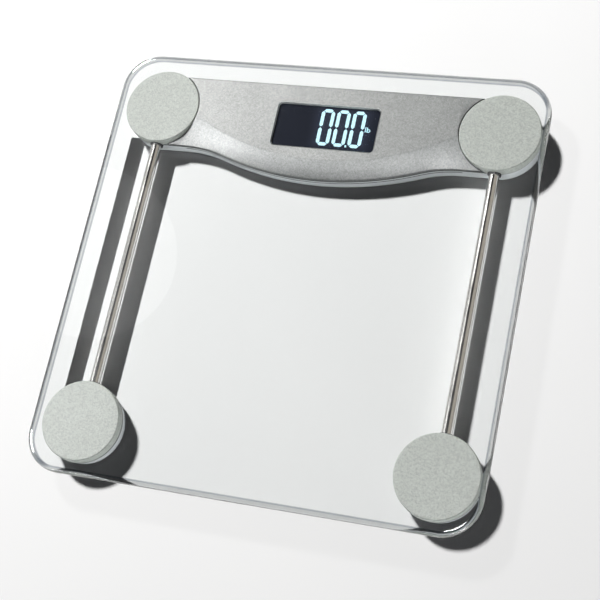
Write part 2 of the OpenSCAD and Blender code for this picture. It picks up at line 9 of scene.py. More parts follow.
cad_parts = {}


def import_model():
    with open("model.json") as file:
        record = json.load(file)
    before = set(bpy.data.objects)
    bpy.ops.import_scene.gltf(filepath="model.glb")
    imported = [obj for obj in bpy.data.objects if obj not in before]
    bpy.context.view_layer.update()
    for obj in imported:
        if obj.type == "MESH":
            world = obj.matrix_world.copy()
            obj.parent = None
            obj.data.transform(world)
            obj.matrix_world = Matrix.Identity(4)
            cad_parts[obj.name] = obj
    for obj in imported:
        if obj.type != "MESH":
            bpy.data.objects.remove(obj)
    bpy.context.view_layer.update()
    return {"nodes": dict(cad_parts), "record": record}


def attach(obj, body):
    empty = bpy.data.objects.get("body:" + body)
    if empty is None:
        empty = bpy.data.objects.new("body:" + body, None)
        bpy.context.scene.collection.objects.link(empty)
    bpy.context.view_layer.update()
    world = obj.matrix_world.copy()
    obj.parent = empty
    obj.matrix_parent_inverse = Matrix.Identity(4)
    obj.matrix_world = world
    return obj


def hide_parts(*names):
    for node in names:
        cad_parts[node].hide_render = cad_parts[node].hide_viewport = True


MM = 0.001

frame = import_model()
nodes = frame["nodes"]
record = frame["record"]
scene = bpy.context.scene


# ---- Sizes in millimetres -----------------------------------------------------------

# Glass platform, with its corner radius and the radius of its polished edge
PLATE_W, PLATE_R, EDGE_R = 300.0, 25.0, 3.2
PLATE_LOW, PLATE_TOP = 18.0, 26.0
# Pucks: centres, cap radius, and the radius of the side walls just inside the caps
PUCK_X, PUCK_Y, CAP_R = 118.5, 113.7, 26.7
SIDE_R = CAP_R - 0.3
# Bonding films: a disc on each puck and two strips on the housing
FILM_LOW, FILM_HIGH, FILM_R = 17.03, 17.97, CAP_R - 0.9
STRIP_W, STRIP_D, STRIP_R, STRIP_X, STRIP_Y = 28.0, 20.0, 1.0, 64.0, 122.0
# Display housing: front wall, crease between slope and flat top, and back edge
FRONT_Y, CREASE_Y, CREASE_R, BACK_Y, BACK_ROUND = 71.2, 83.2, 172.0, 137.0, 0.6
SLOPE_Z, COVER_TOP, SEAM, WALL = 11.8, 17.0, 10.35, 1.8
# How far the slope rises above a straight one, as a share of its height
BULGE = 0.35
# The housing's front edge runs out to END_X in two arcs that meet at MID_SHARE of it
END_X, MID_SHARE = 97.0, 0.715
END_Y = PUCK_Y - SIDE_R + 0.3
RISE = END_Y - FRONT_Y
RADIUS_SUM = (END_X ** 2 + RISE ** 2) / (2 * RISE)
MID_R = RADIUS_SUM * MID_SHARE
END_R = RADIUS_SUM - MID_R
# Display window, the flare round it, and the pocket that holds its lens
WINDOW_W, WINDOW_D, WINDOW_X, WINDOW_Y, WINDOW_R = 71.0, 30.8, 1.7, 107.6, 2.4
FLARE = 0.9
LENS_Z, LENS_T, LENS_MARGIN, LENS_R = 14.6, 1.2, 1.2, 3.5
# Dark strips of painted shade in the seams and the groove, as lowest and highest points
HOUSING_SHADE_STRIP, GROOVE_SHADE_STRIP, PUCK_SHADE_STRIP = (9.45, 10.36), (7.1, 7.95), (9.2, 10.36)
LINE_HALF = 0.04
# Digits: sideways spans, ends, half width of a bar, gap between bars, and the decimal point
DIGIT_SPANS = ((-3.5, 5.8), (7.5, 16.8), (18.6, 27.9))
DIGIT_LOW, DIGIT_HIGH, BAR_HALF, BAR_GAP = 95.0, 121.8, 1.2, 0.28
POINT_X, POINT_W, POINT_H = 17.05, 1.2, 1.5
DIGIT_Z, DIGIT_T = 14.42, 0.04
# Unit mark: left end, foot, height, width of a stem, step between stems, and bowl
UNIT_X, UNIT_Y, UNIT_H, STEM_W, STEM_STEP = 28.7, 107.0, 3.7, 0.55, 1.2
BOWL_R, BOWL_INNER_R = 1.2, 0.7
# The area round the digits that glows, and how far the glow fades beyond it
GLOW_CENTRE, GLOW_HALF, GLOW_FADE = (12.5, 108.5), (16.5, 12.0), 8.0
# Cells: middle of their sleeves, and half lengths of the sleeve and of its blue middle
CELL_X, SLEEVE_HALF, BLUE_HALF = -63.3, 20.5, 12.8


# ---- Shaders ------------------------------------------------------------------------

# Share of its light that silver paint and pale plastic throw on, so that shadows stay dark
BOUNCE = 0.05


class Shader:
    """A Principled material with short calls for its nodes."""

    def __init__(self, name, **sockets):
        self.mat = bpy.data.materials.new(name)
        self.mat.use_nodes = True
        self.tree = self.mat.node_tree
        self.bsdf = self.tree.nodes["Principled BSDF"]
        self.out = self.tree.nodes["Material Output"]
        self.place = self.tree.nodes.new("ShaderNodeTexCoord").outputs["Object"]
        for key, value in sockets.items():
            self.bsdf.inputs[key.replace("_", " ")].default_value = value

    def add(self, kind, settings=None, **inputs):
        node = self.tree.nodes.new(kind)
        for key, value in (settings or {}).items():
            setattr(node, key, value)
        for key, value in inputs.items():
            self.plug(node.inputs[key.replace("_", " ")], value)
        return node

    def plug(self, socket, value):
        if isinstance(value, bpy.types.NodeSocket):
            self.tree.links.new(value, socket)
        else:
            socket.default_value = value

    def stretched(self, scale):
        node = self.add("ShaderNodeMapping", Vector=self.place)
        node.inputs["Scale"].default_value = scale
        return node.outputs["Vector"]

    def noise(self, scale, detail, place=None):
        return self.add("ShaderNodeTexNoise", Vector=place or self.place, Scale=scale,
                        Detail=detail).outputs["Fac"]

    def cells(self, scale):
        colour = self.add("ShaderNodeTexVoronoi", Vector=self.place, Scale=scale).outputs["Color"]
        return self.add("ShaderNodeSeparateColor", Color=colour).outputs["Red"]

    def remap(self, value, low, high, start=0.0, end=1.0):
        node = self.add("ShaderNodeMapRange", Value=value)
        node.inputs["From Min"].default_value = start
        node.inputs["From Max"].default_value = end
        node.inputs["To Min"].default_value = low
        node.inputs["To Max"].default_value = high
        return node.outputs["Result"]

    def maths(self, operation, a, b=0.0):
        node = self.add("ShaderNodeMath", {"operation": operation})
        self.plug(node.inputs[0], a)
        self.plug(node.inputs[1], b)
        return node.outputs[0]

    def blend(self, factor, a, b):
        node = self.add("ShaderNodeMix", {"data_type": "RGBA"})
        self.plug(node.inputs["Factor"], factor)
        for socket, value in zip([s for s in node.inputs if s.type == "RGBA"], (a, b)):
            self.plug(socket, value)
        return [s for s in node.outputs if s.type == "RGBA"][0]

    def shade(self, colour, factor):
        """The colour scaled by a grey factor."""
        node = self.add("ShaderNodeVectorMath", {"operation": "SCALE"})
        self.plug(node.inputs[0], colour if isinstance(colour, bpy.types.NodeSocket) else colour[:3])
        self.plug(node.inputs["Scale"], factor)
        return node.outputs[0]

    def quieter(self, colour, share):
        """The colour, cut to a share of itself wherever a diffuse bounce sees it."""
        bounced = self.add("ShaderNodeLightPath").outputs["Is Diffuse Ray"]
        return self.shade(colour, self.remap(bounced, 1.0, share))

    def outside(self, centre, half):
        """Distance in plan from a rectangle, and 0 inside it."""
        axes = self.add("ShaderNodeSeparateXYZ", Vector=self.place).outputs
        squares = []
        for k, middle, reach in zip("XY", centre, half):
            off = self.maths("ABSOLUTE", self.maths("SUBTRACT", axes[k], middle * MM))
            past = self.maths("MAXIMUM", self.maths("SUBTRACT", off, reach * MM), 0.0)
            squares.append(self.maths("POWER", past, 2.0))
        return self.maths("SQRT", self.maths("ADD", *squares))

    def bump(self, height, distance, strength):
        return self.add("ShaderNodeBump", Height=height, Distance=distance,
                        Strength=strength).outputs["Normal"]

    def wear(self, **links):
        for key, value in links.items():
            self.plug(self.bsdf.inputs[key.replace("_", " ")], value)
        return self.mat


def rgb(r, g, b):
    return (r, g, b, 1.0)


def silver_paint(name, light, dark, rough, grain, sheen):
    """Silver paint: flakes as small cells that differ in brightness and tilt."""
    s = Shader(name)
    fine = s.cells(2600)
    coarse = s.cells(1150)
    flake = s.maths("ADD", s.maths("MULTIPLY", fine, 0.45), s.maths("MULTIPLY", coarse, 0.55))
    colour = s.blend(s.noise(9, 3), dark, light)
    colour = s.quieter(s.shade(colour, s.remap(flake, 1 - grain, 1 + grain)), BOUNCE)
    gloss = s.remap(s.maths("ADD", s.noise(30, 3), s.maths("MULTIPLY", fine, 0.5)),
                    rough - 0.05, rough + 0.07, 0.3, 1.1)
    normal = s.bump(flake, 0.00003, 0.5)
    return s.wear(Base_Color=colour, Roughness=gloss, Normal=normal,
                  Specular_IOR_Level=s.remap(flake, sheen * (1 - grain), sheen * (1 + grain)))


def moulded(name, colour, rough, texture=2200, depth=0.00002, metallic=0.0, bounce=1.0):
    """Moulded plastic with a fine spark-eroded texture and slight flow marks."""
    s = Shader(name, Metallic=metallic)
    tone = s.shade(colour, s.remap(s.noise(45, 4), 0.94, 1.06))
    if bounce < 1.0:
        tone = s.quieter(tone, bounce)
    gloss = s.remap(s.noise(160, 3), rough - 0.06, rough + 0.08)
    return s.wear(Base_Color=tone, Roughness=gloss,
                  Normal=s.bump(s.noise(texture, 2), depth, 0.7))


def rubbery(name, colour, rough=0.8):
    """Rubber with a fine grain and a little dust."""
    s = Shader(name)
    dust = s.remap(s.noise(260, 5), 0.8, 1.25)
    return s.wear(Base_Color=s.shade(colour, dust),
                  Roughness=s.remap(s.noise(700, 3), rough - 0.1, rough + 0.1),
                  Normal=s.bump(s.noise(1800, 3), 0.00004, 0.8))


def steel(name, colour, rough, streak=(3600, 90, 3600)):
    """Bare steel with fine streaks drawn along one direction."""
    s = Shader(name, Metallic=1.0)
    lines = s.noise(1.0, 3, s.stretched(streak))
    tone = s.shade(colour, s.remap(lines, 0.86, 1.08))
    gloss = s.remap(s.maths("ADD", lines, s.noise(55, 3)), rough * 0.6, rough * 1.5, 0.6, 1.4)
    return s.wear(Base_Color=tone, Roughness=gloss, Normal=s.bump(lines, 0.000012, 0.5))


def clear(name, tint, ior, lamps):
    """Clear plastic that bends light for the eye and lets a share of lamp light straight through."""
    s = Shader(name, IOR=ior, Transmission_Weight=1.0, Roughness=0.0)
    s.wear(Base_Color=s.blend(s.noise(60, 2), tint, rgb(*[c * 0.985 for c in tint[:3]])))
    return straight_lamps(s, lamps)


def straight_lamps(s, lamps):
    """Lets a share of lamp light straight through the material, and bends only what the eye sees."""
    path = s.add("ShaderNodeLightPath").outputs
    through = s.add("ShaderNodeBsdfTransparent")
    through.inputs["Color"].default_value = rgb(lamps, lamps, lamps)
    shader = s.bsdf.outputs[0]
    for ray, other in (("Is Glossy Ray", through.outputs[0]), ("Is Singular Ray", s.bsdf.outputs[0]),
                       ("Is Diffuse Ray", through.outputs[0]), ("Is Shadow Ray", through.outputs[0])):
        mix = s.add("ShaderNodeMixShader")
        s.tree.links.new(path[ray], mix.inputs[0])
        s.tree.links.new(shader, mix.inputs[1])
        s.tree.links.new(other, mix.inputs[2])
        shader = mix.outputs[0]
    s.tree.links.new(shader, s.out.inputs["Surface"])
    return s.mat


def plate_glass():
    """Clear toughened glass, with painted shade round its polished rim and a painted dark line along the
    rim's inner edge.
    """
    s = Shader("platform_glass", IOR=1.5, Transmission_Weight=1.0, Roughness=0.0)
    straight = PLATE_W / 2 - PLATE_R
    out = s.outside((0.0, 0.0), (straight, straight))
    flat_r = PLATE_R - EDGE_R
    # Painted shade: a darker tint over the rim, and a painted dark line along its inner edge
    rim = s.remap(out, 0.0, 1.0, (flat_r - 0.3) * MM, (flat_r + 0.4) * MM)
    line = s.maths("MULTIPLY", rim, s.remap(out, 1.0, 0.0, (flat_r + 0.7) * MM, (flat_r + 1.4) * MM))
    body = s.blend(s.noise(5, 2), rgb(0.972, 0.992, 0.989), rgb(0.978, 0.994, 0.991))
    tint = s.blend(rim, body, rgb(0.46, 0.475, 0.475))
    s.wear(Base_Color=s.blend(line, tint, rgb(0.22, 0.25, 0.285)))
    return straight_lamps(s, 0.97)


def bond_film():
    """Clear cured adhesive: it fills the gap, so hardly any edge shows."""
    s = Shader("bond_film", Roughness=0.4, Alpha=0.012)
    return s.wear(Base_Color=s.blend(s.noise(60, 3), rgb(0.85, 0.9, 0.9), rgb(0.95, 0.97, 0.96)))


def lit(name, colour, strength):
    """A lit segment of the display."""
    s = Shader(name, Base_Color=colour, Roughness=0.4)
    glow = s.blend(s.noise(350, 2), colour, rgb(*[min(1, c * 1.08) for c in colour[:3]]))
    s.bsdf.inputs["Emission Strength"].default_value = strength
    return s.wear(Emission_Color=glow)


def lcd_dark():
    """Dark liquid-crystal panel: navy, with a faint glow that leaks round the digits."""
    s = Shader("lcd_glass", Roughness=0.12)
    colour = s.blend(s.noise(40, 3), rgb(0.014, 0.016, 0.023), rgb(0.018, 0.021, 0.03))
    away = s.outside(GLOW_CENTRE, GLOW_HALF)
    glow = s.maths("POWER", s.remap(away, 1.0, 0.0, 0.0, GLOW_FADE * MM), 2.0)
    s.bsdf.inputs["Emission Color"].default_value = rgb(0.55, 0.60, 0.84)
    return s.wear(Base_Color=colour, Emission_Strength=s.maths("ADD", s.maths("MULTIPLY", glow, 0.06), 0.035))


def circuit():
    """Green circuit board with lighter tracks."""
    s = Shader("board_green", Roughness=0.35)
    tracks = s.add("ShaderNodeTexBrick", Vector=s.place, Scale=260.0, Mortar_Size=0.09,
                   Color1=rgb(0.03, 0.17, 0.07), Color2=rgb(0.025, 0.14, 0.06),
                   Mortar=rgb(0.05, 0.27, 0.12))
    return s.wear(Base_Color=tracks.outputs["Color"],
                  Normal=s.bump(tracks.outputs["Fac"], 0.00003, 0.5))


def cell_sleeve():
    """AAA cell: printed sleeve in the middle, bare steel towards both ends."""
    s = Shader("cell_sleeve")
    x = s.add("ShaderNodeSeparateXYZ", Vector=s.place).outputs["X"]
    reach = s.maths("ABSOLUTE", s.maths("SUBTRACT", x, CELL_X * MM))
    sleeve = s.maths("LESS_THAN", reach, SLEEVE_HALF * MM)
    pale_end = s.maths("GREATER_THAN", reach, BLUE_HALF * MM)
    print_colour = s.blend(pale_end, rgb(0.02, 0.09, 0.30), rgb(0.55, 0.55, 0.56))
    colour = s.blend(sleeve, rgb(0.72, 0.71, 0.69), print_colour)
    return s.wear(Base_Color=s.shade(colour, s.remap(s.noise(220, 3), 0.93, 1.05)),
                  Metallic=s.maths("SUBTRACT", 1.0, sleeve),
                  Roughness=s.remap(s.noise(500, 3), 0.22, 0.36))


def striped(name, first, second, period):
    """Fine stripes of two colours across X."""
    s = Shader(name)
    x = s.add("ShaderNodeSeparateXYZ", Vector=s.place).outputs["X"]
    step = s.maths("GREATER_THAN", s.maths("FRACT", s.maths("DIVIDE", x, period * MM)), 0.5)
    return s.wear(Base_Color=s.blend(step, first, second),
                  Roughness=s.remap(s.noise(800, 2), 0.5, 0.7))


def sleeved_leads():
    """Red and black insulation, told apart by where the leads lie."""
    s = Shader("lead_wire")
    x, y = (s.add("ShaderNodeSeparateXYZ", Vector=s.place).outputs[k] for k in "XY")
    black = s.maths("GREATER_THAN", s.maths("ADD", x, s.maths("MULTIPLY", y, 1.5)), 0.1138)
    return s.wear(Base_Color=s.blend(black, rgb(0.5, 0.02, 0.02), rgb(0.02, 0.02, 0.02)),
                  Roughness=s.remap(s.noise(900, 2), 0.4, 0.6))


MATERIALS = {
    "platform_glass": plate_glass(),
    "bond_film": bond_film(),
    "satin_silver": silver_paint("satin_silver", rgb(0.405, 0.43, 0.405), rgb(0.38, 0.405, 0.38),
                                 rough=0.58, grain=0.21, sheen=0.38),
    "housing_silver": silver_paint("housing_silver", rgb(0.108, 0.115, 0.114), rgb(0.10, 0.107, 0.106),
                                   rough=0.45, grain=0.26, sheen=0.78),
    "shell_grey": moulded("shell_grey", rgb(0.60, 0.63, 0.645), 0.36, metallic=0.1, bounce=BOUNCE),
    "foot_plastic": moulded("foot_plastic", rgb(0.60, 0.61, 0.62), 0.5, 1500, 0.00003),
    "foot_rubber": rubbery("foot_rubber", rgb(0.075, 0.078, 0.08)),
    "cell_steel": steel("cell_steel", rgb(0.62, 0.62, 0.60), 0.3, (1800, 60, 1800)),
    "gauge_foil": striped("gauge_foil", rgb(0.62, 0.33, 0.08), rgb(0.45, 0.30, 0.16), 0.7),
    "sealant": rubbery("sealant", rgb(0.82, 0.82, 0.79), 0.45),
    "tube_steel": steel("tube_steel", rgb(0.80, 0.785, 0.76), 0.13),
    "grommet_rubber": rubbery("grommet_rubber", rgb(0.025, 0.025, 0.028), 0.6),
    "display_lens": clear("display_lens", rgb(0.62, 0.65, 0.72), 1.45, 0.7),
    "lcd_glass": lcd_dark(),
    "diffuser": moulded("diffuser", rgb(0.82, 0.86, 0.88), 0.3),
    "frame_plastic": moulded("frame_plastic", rgb(0.02, 0.02, 0.022), 0.5),
    "zebra_rubber": striped("zebra_rubber", rgb(0.62, 0.28, 0.32), rgb(0.10, 0.09, 0.09), 0.4),
    "board_green": circuit(),
    "epoxy_black": moulded("epoxy_black", rgb(0.012, 0.012, 0.013), 0.2),
    "connector_white": moulded("connector_white", rgb(0.80, 0.79, 0.73), 0.45),
    "component_tan": moulded("component_tan", rgb(0.40, 0.29, 0.19), 0.35),
    "switch_black": moulded("switch_black", rgb(0.02, 0.02, 0.022), 0.4),
    "plunger_white": moulded("plunger_white", rgb(0.78, 0.77, 0.73), 0.45),
    "button_grey": moulded("button_grey", rgb(0.12, 0.125, 0.13), 0.45, 1500, 0.00003),
    "cell_sleeve": cell_sleeve(),
    "contact_nickel": steel("contact_nickel", rgb(0.74, 0.72, 0.68), 0.22, (900, 900, 90)),
    "lead_wire": sleeved_leads(),
    "wire_white": moulded("wire_white", rgb(0.74, 0.74, 0.71), 0.5),
    "screw_steel": steel("screw_steel", rgb(0.66, 0.66, 0.65), 0.25, (1500, 1500, 200)),
    "lit_segment": lit("lit_segment", rgb(0.60, 0.93, 0.96), 1.5),
}
slot_of = {s["node"]: s["material_slot"] for s in record["subparts"]}


def paint(piece, slot):
    piece.data.materials.clear()
    piece.data.materials.append(MATERIALS[slot])


for name, obj in nodes.items():
    paint(obj, slot_of[name])


# ---- Mesh helpers -------------------------------------------------------------------

def mesh_object(name, points, faces, sharp=35.0):
    """An object from points in millimetres, with edges sharp above an angle in degrees."""
    mesh = bpy.data.meshes.new(name)
    mesh.from_pydata([Vector(p) * MM for p in points], [], faces)
    bm = bmesh.new()
    bm.from_mesh(mesh)
    bmesh.ops.recalc_face_normals(bm, faces=bm.faces)
    bm.to_mesh(mesh)
    bm.free()
    obj = bpy.data.objects.new(name, mesh)
    scene.collection.objects.link(obj)
    mesh.shade_smooth()
    mesh.set_sharp_from_angle(angle=math.radians(sharp))
    return obj


def loft(rings, closed_ends=True):
    """Points and faces of a solid through rings of points."""
    count = len(rings[0])
    points = [p for ring in rings for p in ring]
    faces = []
    for i in range(len(rings) - 1):
        for j in range(count):
            a, b = i * count + j, i * count + (j + 1) % count
            faces.append((a, b, b + count, a + count))
    if closed_ends:
        faces.append(tuple(range(count)))
        faces.append(tuple((len(rings) - 1) * count + j for j in range(count)))
    return points, faces


def joined(shapes):
    """Several lots of points and faces as one."""
    points, faces = [], []
    for more_points, more_faces in shapes:
        faces += [tuple(i + len(points) for i in f) for f in more_faces]
        points += more_points
    return points, faces


def rounded_outline(w, d, r, steps, centre=(0.0, 0.0)):
    """Points round a rounded rectangle, counter-clockwise."""
    points = []
    for k, (sx, sy) in enumerate(((1, 1), (-1, 1), (-1, -1), (1, -1))):
        for i in range(steps + 1):
            a = math.radians(90 * k + 90 * i / steps)
            points.append((centre[0] + sx * (w / 2 - r) + r * math.cos(a),
                           centre[1] + sy * (d / 2 - r) + r * math.sin(a)))
    return points


def lathe(centre, profile, steps=160):
    """A solid of revolution about a vertical line, from (radius, z) pairs."""
    rings = [[(centre[0] + r * math.cos(2 * math.pi * k / steps),
               centre[1] + r * math.sin(2 * math.pi * k / steps), z) for k in range(steps)]
             for r, z in profile]
    return loft(rings)


def cut(target, tool):
    """Takes a tool's shape out of a piece, and removes the tool."""
    mod = target.modifiers.new("cut", "BOOLEAN")
    mod.operation, mod.object, mod.solver = "DIFFERENCE", tool, "EXACT"
    dg = bpy.context.evaluated_depsgraph_get()
    mesh = bpy.data.meshes.new_from_object(target.evaluated_get(dg))
    target.modifiers.clear()
    old = target.data
    target.data = mesh
    bpy.data.meshes.remove(old)
    bpy.data.objects.remove(tool)


def finish_piece(obj, slot, body, sharp, stands_for=()):
    """Paints a piece with its slot's material, attaches it to its body, and hides the nodes it stands for."""
    obj.data.shade_smooth()
    obj.data.set_sharp_from_angle(angle=math.radians(sharp))
    paint(obj, slot)
    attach(obj, body)
    if stands_for:
        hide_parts(*stands_for)
    return obj


# ---- Glass platform -----------------------------------------------------------------

def glass_plate():
    """The square plate, with its edge rounded above and below."""
    arc = [math.radians(90 * i / 10) for i in range(11)]
    profile = [(EDGE_R + 1.0, PLATE_LOW), (EDGE_R + 0.3, PLATE_LOW)]
    profile += [(EDGE_R * (1 - math.sin(a)), PLATE_LOW + EDGE_R * (1 - math.cos(a))) for a in arc]
    profile += [(EDGE_R * (1 - math.cos(a)), PLATE_TOP - EDGE_R * (1 - math.sin(a))) for a in arc]
    profile += [(EDGE_R + 0.3, PLATE_TOP), (EDGE_R + 1.0, PLATE_TOP)]
    rings = [[(x, y, z) for x, y in
              rounded_outline(PLATE_W - 2 * inset, PLATE_W - 2 * inset, PLATE_R - inset, 28)]
             for inset, z in profile]
    return mesh_object("glass_plate", *loft(rings), sharp=60)


finish_piece(glass_plate(), "platform_glass", "scale", 60, ["glass_platform"])


# ---- Bonding films ------------------------------------------------------------------

def bonding_films():
    """Four discs and two strips of adhesive, a hair thinner than the gap they fill."""
    hollow = 0.12
    heights = ((0.0, FILM_LOW), (hollow, (FILM_LOW + FILM_HIGH) / 2), (0.0, FILM_HIGH))
    shapes = [lathe((sx * PUCK_X, sy * PUCK_Y), [(FILM_R - d, z) for d, z in heights], 96)
              for sx in (-1, 1) for sy in (-1, 1)]
    shapes += [loft([[(x, y, z) for x, y in
                      rounded_outline(STRIP_W - 2 * d, STRIP_D - 2 * d, STRIP_R, 6, (sx * STRIP_X, STRIP_Y))]
                     for d, z in heights]) for sx in (-1, 1)]
    return mesh_object("adhesive_films", *joined(shapes), 50)


finish_piece(bonding_films(), "bond_film", "scale", 50, ["bond_films"])


# ---- Display cover ------------------------------------------------------------------

def front_edge(x):
    """Y of the housing's front wall."""
    a = abs(x)
    if a < END_X * MID_SHARE:
        return FRONT_Y + MID_R - math.sqrt(MID_R ** 2 - a ** 2)
    if a < END_X:
        return END_Y - END_R + math.sqrt(END_R ** 2 - (END_X - a) ** 2)
    return END_Y


def crease(x):
    """Y of the crease between the housing's slope and its flat top."""
    return CREASE_Y + CREASE_R - math.sqrt(CREASE_R ** 2 - x ** 2)


def cover_section(x, inset, low, levels):
    """One slice of the cover's outside, or of its hollow where there is an inset."""
    y0 = front_edge(x) + inset
    y1 = max(crease(x) + inset * 0.3, y0 + 1)
    z0, z1 = SLOPE_Z - inset * 0.8, COVER_TOP - inset
    slope = [(x, y0 + (y1 - y0) * t, z0 + (z1 - z0) * t * (1 + BULGE - BULGE * t))
             for t in [i / levels for i in range(levels + 1)]]
    if inset:
        return [(x, y0, low)] + slope + [(x, BACK_Y - inset, z1), (x, BACK_Y - inset, low)]
    softened = [(x, y0, z0 - 0.45), (x, y0 + 0.05, z0 - 0.16), (x, y0 + 0.22, z0 + 0.06)]
    top = [(x, y, z1) for y in (y1 + 0.5, y1 + 2, BACK_Y - 2, BACK_Y - BACK_ROUND)]
    back = [(x, BACK_Y - BACK_ROUND * (1 - math.sin(a)), z1 - BACK_ROUND * (1 - math.cos(a)))
            for a in (math.radians(30), math.radians(60), math.radians(90))]
    return [(x, y0, low)] + softened + slope[1:] + top + back + [(x, BACK_Y, low)]


def cover_solid(name, inset, low, reach, levels, steps):
    """The cover's outside or hollow, as slices from -reach to reach in X."""
    rings = [cover_section(-reach + 2 * reach * i / steps, inset, low, levels)
             for i in range(steps + 1)]
    return mesh_object(name, *loft(rings))


def window_outline(grow, r, steps=8):
    """Plan outline of the window, grown all round."""
    return rounded_outline(WINDOW_W + 2 * grow, WINDOW_D + 2 * grow, r, steps, (WINDOW_X, WINDOW_Y))


def window_tool(grow, r, z0, z1, lip=0.0):
    """Rounded box that cuts the window, with a flare at its top for a soft lip."""
    levels = [(0.0, z0), (0.0, z1 - lip)]
    if lip:
        levels += [(lip * 0.7, z1 - lip * 0.2), (lip, z1), (lip * 1.8, z1 + 0.6)]
    rings = [[(x, y, z) for x, y in window_outline(grow + out, r + out)] for out, z in levels]
    return mesh_object("tool", *loft(rings))


def puck_tool(side, r, z1, lip=0.0):
    """Round bar that clears a rear puck, with a flare at its top for a soft lip."""
    profile = [(r, 0.0), (r, z1 - lip)]
    if lip:
        profile += [(r + lip * 0.13, z1 - lip * 0.5), (r + lip * 0.5, z1 - lip * 0.13),
                    (r + lip, z1), (r + lip * 1.5, z1 + 0.6)]
    return mesh_object("tool", *lathe((side * PUCK_X, PUCK_Y), profile))


def display_cover():
    """The hollow cover, cut round the two rear pucks and for the window and its lens."""
    cover = cover_solid("display_cover_skin", inset=0, low=SEAM, reach=110, levels=22, steps=176)
    hollow = cover_solid("hollow", inset=WALL, low=SEAM - 1, reach=108, levels=8, steps=80)
    for side in (-1, 1):
        cut(hollow, puck_tool(side, CAP_R + WALL, z1=40))
    cut(cover, hollow)
    for side in (-1, 1):
        cut(cover, puck_tool(side, CAP_R + 0.4, COVER_TOP, lip=0.35))
    cut(cover, window_tool(0, WINDOW_R, LENS_Z, COVER_TOP, lip=FLARE))
    cut(cover, window_tool(LENS_MARGIN, LENS_R, LENS_Z - 4, LENS_Z + LENS_T))
    return cover


finish_piece(display_cover(), "housing_silver", "scale", 28, ["display_cover"])


# ---- Painted seam shade -------------------------------------------------------------

def ribbon(path, z0, z1):
    """A thin strip that stands on a plan path, closed if the path ends where it starts."""
    loop = path[0] == path[-1]
    rings = []
    for i, here in enumerate(path):
        before = path[i - 1] if i else (path[-2] if loop else here)
        after = path[i + 1] if i + 1 < len(path) else (path[1] if loop else here)
        along = (Vector(after) - Vector(before)).normalized()
        across = Vector((along.y, -along.x)) * LINE_HALF
        rings.append([(here[0] + k * across.x, here[1] + k * across.y, z)
                      for k, z in ((-1, z0), (1, z0), (1, z1), (-1, z1))])
    return loft(rings, not loop)


def circle_path(centre, r, start, end):
    """Points along an arc in plan, from one angle in degrees to another."""
    steps = 96
    angles = [math.radians(start + (end - start) * k / steps) for k in range(steps + 1)]
    return [(round(centre[0] + r * math.cos(a), 5), round(centre[1] + r * math.sin(a), 5)) for a in angles]


def painted_seam_shade():
    """Painted shade as dark strips: in the seam, in the groove below it along the front wall, and round the
    front pucks.
    """
    front = [(x, front_edge(x)) for x in [END_X * k / 60 for k in range(-60, 61)]]
    left = circle_path((-PUCK_X, PUCK_Y), SIDE_R, 100, 261)
    right = circle_path((PUCK_X, PUCK_Y), SIDE_R, 279, 440)
    strips = [(left + front + right, HOUSING_SHADE_STRIP), (front, GROOVE_SHADE_STRIP)]
    strips += [(circle_path((side * PUCK_X, -PUCK_Y), SIDE_R + 0.2, 0, 360), PUCK_SHADE_STRIP) for side in (-1, 1)]
    return mesh_object("painted_seam_shade", *joined([ribbon(path, z0, z1) for path, (z0, z1) in strips]), 50)


# Dark strips of painted shade along the seams and the groove
finish_piece(painted_seam_shade(), "frame_plastic", "scale", 50)


# ---- Painted window highlight -------------------------------------------------------

def painted_window_highlight():
    """Painted highlight: a pale strip on the window's flare along its back and left sides only."""
    steps = 8
    # From the middle of the back right corner to the middle of the front left one
    start, stop = steps // 2, 2 * (steps + 1) + steps // 2 + 1
    inner, outer = (window_outline(grow, WINDOW_R + grow, steps)[start:stop] for grow in (0.02, FLARE - 0.02))
    rings = [[(*low, COVER_TOP - 0.86), (*high, COVER_TOP + 0.02),
              (*high, COVER_TOP + 0.06), (*low, COVER_TOP - 0.8)] for low, high in zip(inner, outer)]
    return mesh_object("painted_window_highlight", *loft(rings), 50)


# Painted highlight on the window's flare, in pale plastic
finish_piece(painted_window_highlight(), "diffuser", "scale", 50)


# ---- Digits on the display ----------------------------------------------------------

def segment(p, q):
    """A flat bar with pointed ends from p to q."""
    u = (Vector(q) - Vector(p)).normalized() * BAR_HALF
    n = Vector((-u.y, u.x))
    a, b = Vector(p), Vector(q)
    return [a, a + u + n, b - u + n, b, b - u - n, a + u - n]


def zero_outlines(x0, x1):
    """The six lit segments of a zero, as outlines."""
    left, right = x0 + BAR_HALF, x1 - BAR_HALF
    low, high, mid = DIGIT_LOW + BAR_HALF, DIGIT_HIGH - BAR_HALF, (DIGIT_LOW + DIGIT_HIGH) / 2
    bars = [((left, high), (right, high)), ((left, low), (right, low))]
    bars += [((x, low), (x, mid)) for x in (left, right)]
    bars += [((x, mid), (x, high)) for x in (left, right)]
    found = []
    for p, q in bars:
        gap = (Vector(q) - Vector(p)).normalized() * BAR_GAP
        found.append(segment(Vector(p) + gap, Vector(q) - gap))
    return found


def arc_outlines(centre, r, inner, start, end):
    """A flat arc as quads, from one angle in degrees to another."""
    steps = 24
    quads = []
    for k in range(steps):
        a, b = (math.radians(start + (end - start) * (k + i) / steps) for i in (0, 1))
        quads.append([Vector((centre[0] + rad * math.cos(t), centre[1] + rad * math.sin(t)))
                      for rad, t in ((r, a), (r, b), (inner, b), (inner, a))])
    return quads


def bar_outline(x, y, w, h):
    return [Vector(c) for c in ((x, y), (x + w, y), (x + w, y + h), (x, y + h))]


